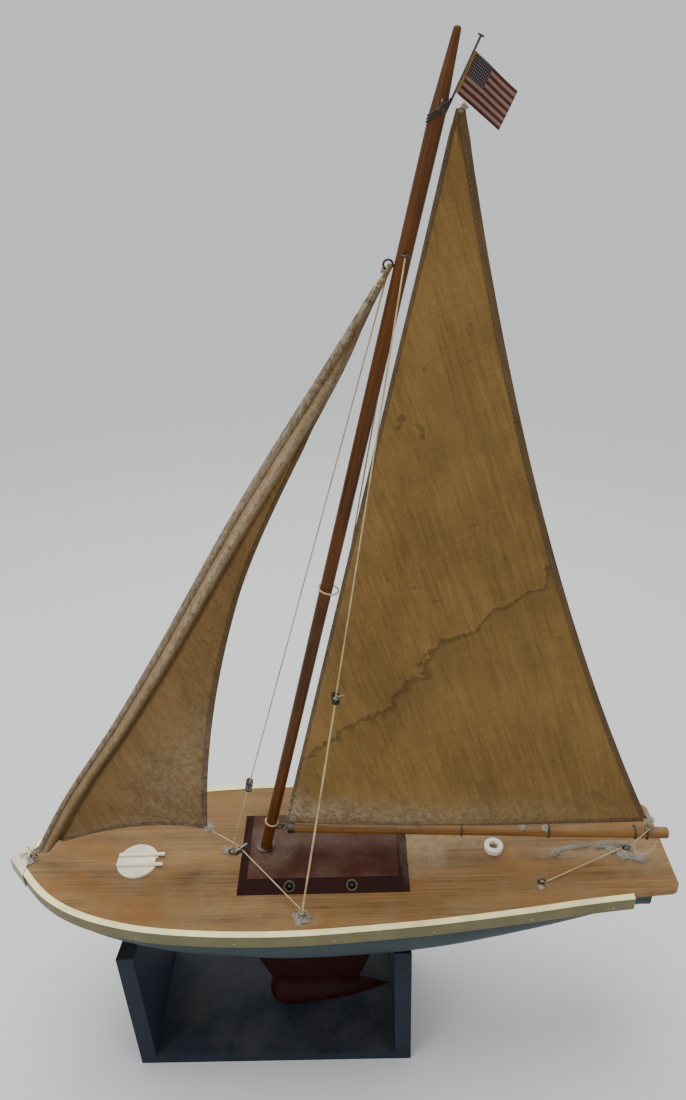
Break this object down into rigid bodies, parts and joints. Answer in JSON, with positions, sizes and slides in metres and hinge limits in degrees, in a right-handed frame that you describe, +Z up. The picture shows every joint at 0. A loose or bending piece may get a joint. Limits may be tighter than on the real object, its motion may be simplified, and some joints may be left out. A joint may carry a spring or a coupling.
{
  "type": "pond yacht with stand",
  "caption": "Free-sailing wooden pond yacht: decked hull with ballast keel, raked mast, boom, mainsail and jib, resting in its own wooden cradle.",
  "frame": {"origin": "centre of the cradle stand, on the floor", "axes": "+X towards the bow, +Y to port, +Z up"},
  "size_m": [0.5812, 0.1688, 0.84],
  "materials": {
    "stand_paint": "worn dark blue-black paint over wood",
    "steel": "dull steel",
    "hull_paint": "blue-grey paint over wood",
    "deck_wood": "varnished mahogany-brown board, dusty",
    "rail_paint": "cream paint over wood",
    "cap_tape": "cream-white cap",
    "raw_wood": "bare softwood",
    "keel_paint": "dark oxblood paint over wood",
    "lead_paint": "oxblood paint over cast lead",
    "cabin_paint": "maroon paint over wood",
    "porthole_metal": "tarnished eyelets",
    "mast_wood": "dark varnished dowel",
    "boom_wood": "orange-tan varnished dowel",
    "dark_wire": "darkened steel wire",
    "cord": "cream cotton cord",
    "bowsie_dark": "dark painted plates",
    "bowsie_metal": "dull grey metal plate",
    "sailcloth": "tan-brown cotton sailcloth",
    "flag_cloth": "striped cotton",
    "pin_steel": "blued steel pin",
    "disc_white": "cream-white disc",
    "stick_wood": "pale round sticks",
    "ring_white": "glazed white ring"
  },
  "bodies": {
    "stand": {"stand_base": "stand_paint", "stand_end_fore": "stand_paint", "stand_end_aft": "stand_paint", "stand_screws": "steel"},
    "hull": {"aft_sheet_eye": "dark_wire", "bow_cap": "cap_tape", "bow_eye": "dark_wire", "cabin_trunk": "cabin_paint", "chainplate_eyes": "dark_wire", "deck": "deck_wood", "deck_beams": "raw_wood", "fairlead_ring": "ring_white", "flag_pin": "pin_steel", "fore_sheet_eye": "dark_wire", "hatch_disc": "disc_white", "hatch_sticks": "stick_wood", "hull_shell": "hull_paint", "inner_stay": "cord", "jib_lashings": "cord", "jib_sheet": "cord", "jib_sheet_upper": "cord", "keel_bolts": "steel", "keel_bulb": "lead_paint", "keel_fin": "keel_paint", "keel_nuts": "steel", "keel_washers": "steel", "luff_ring": "cord", "mainsheet_lower": "cord", "mainsheet_upper": "cord", "mast": "mast_wood", "mast_collar": "dark_wire", "mast_eye": "dark_wire", "mast_step": "raw_wood", "masthead_eye": "dark_wire", "porthole_rims": "porthole_metal", "rail_pins": "steel", "rub_rail_port": "rail_paint", "rub_rail_starboard": "rail_paint", "shroud_eyes": "dark_wire", "shroud_port": "cord", "shroud_starboard": "cord", "shroud_tail_port": "cord", "shroud_tail_starboard": "cord", "stay_eye": "dark_wire", "stay_hound_eye": "dark_wire", "tack_lashing": "cord"},
    "boom": {"boom": "boom_wood", "boom_ferrule": "dark_wire", "boom_eye": "dark_wire", "boom_lashings": "cord", "mainsail": "sailcloth"},
    "jib": {"jib": "sailcloth"},
    "flag": {"flag": "flag_cloth"},
    "port_bowsie": {"shroud_bowsie_port": "bowsie_dark"},
    "starboard_bowsie": {"shroud_bowsie_starboard": "bowsie_dark"},
    "stay_bowsie": {"stay_bowsie": "bowsie_dark"},
    "sheet_bowsie": {"jib_sheet_bowsie": "bowsie_metal"}
  },
  "joints": [
    {"name": "boat_lift", "type": "slide", "parent": "stand", "child": "hull", "axis": [0, 0, 1], "range_m": [0, 0.16]},
    {"name": "boom_swing", "type": "hinge", "parent": "hull", "child": "boom", "pos_m": [-0.01877, 0, 0.253], "axis": [-0.2368, 0, 0.9715], "range_deg": [-37, 43]},
    {"name": "jib_swing", "type": "hinge", "parent": "hull", "child": "jib", "pos_m": [0.19998, 0, 0.229], "axis": [-0.5392, 0, 0.8422], "range_deg": [-30, 30]},
    {"name": "flag_swivel", "type": "hinge", "parent": "hull", "child": "flag", "pos_m": [-0.14068, 0, 0.78709], "axis": [-0.4462, 0, 0.8949], "range_deg": [-45, 45]},
    {"name": "port_bowsie_slide", "type": "slide", "parent": "hull", "child": "port_bowsie", "axis": [-0.1697, -0.1147, 0.9788], "range_m": [-0.02, 0.04]},
    {"name": "starboard_bowsie_slide", "type": "slide", "parent": "hull", "child": "starboard_bowsie", "axis": [-0.1697, 0.1147, 0.9788], "range_m": [-0.02, 0.04]},
    {"name": "stay_bowsie_slide", "type": "slide", "parent": "hull", "child": "stay_bowsie", "axis": [-0.2783, 0, 0.9605], "range_m": [-0.02, 0.04]},
    {"name": "sheet_bowsie_slide", "type": "slide", "parent": "hull", "child": "sheet_bowsie", "axis": [-0.6897, 0.7171, -0.1005], "range_m": [-0.003, 0.012]}
  ]
}
